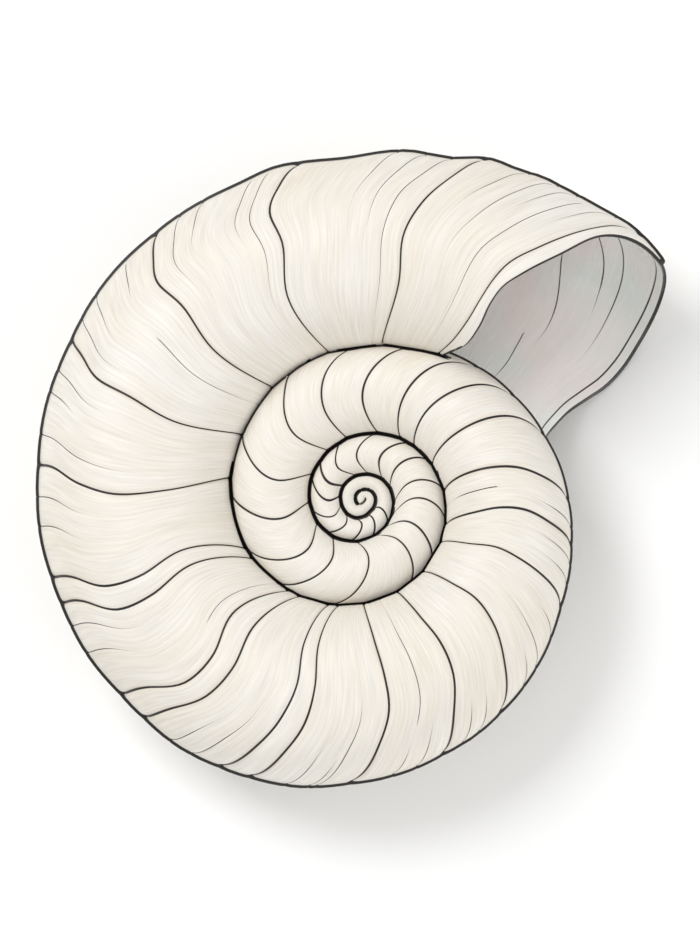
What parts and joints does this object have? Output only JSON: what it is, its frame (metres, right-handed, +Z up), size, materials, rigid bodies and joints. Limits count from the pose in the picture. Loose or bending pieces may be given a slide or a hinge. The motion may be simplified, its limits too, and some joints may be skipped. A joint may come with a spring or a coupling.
{
  "type": "evolute nautilus seashell",
  "caption": "Flat coiled seashell with open inner whorls, an oblique flared mouth, a hollow living chamber and engraved S-shaped growth lines.",
  "frame": {"origin": "Centre of the bounding box in X and Y, on the surface the shell lies on.", "axes": "+Z is up, close to the coiling axis, with the shell lying on its far side. Seen from above with +Y up the page, the mouth is at the upper right and the coil runs counter-clockwise back from it to the apex."},
  "size_m": [0.1646, 0.1646, 0.0575],
  "materials": {
    "shell": "satin"
  },
  "bodies": {
    "root": {"shell": "shell"}
  },
  "joints": []
}
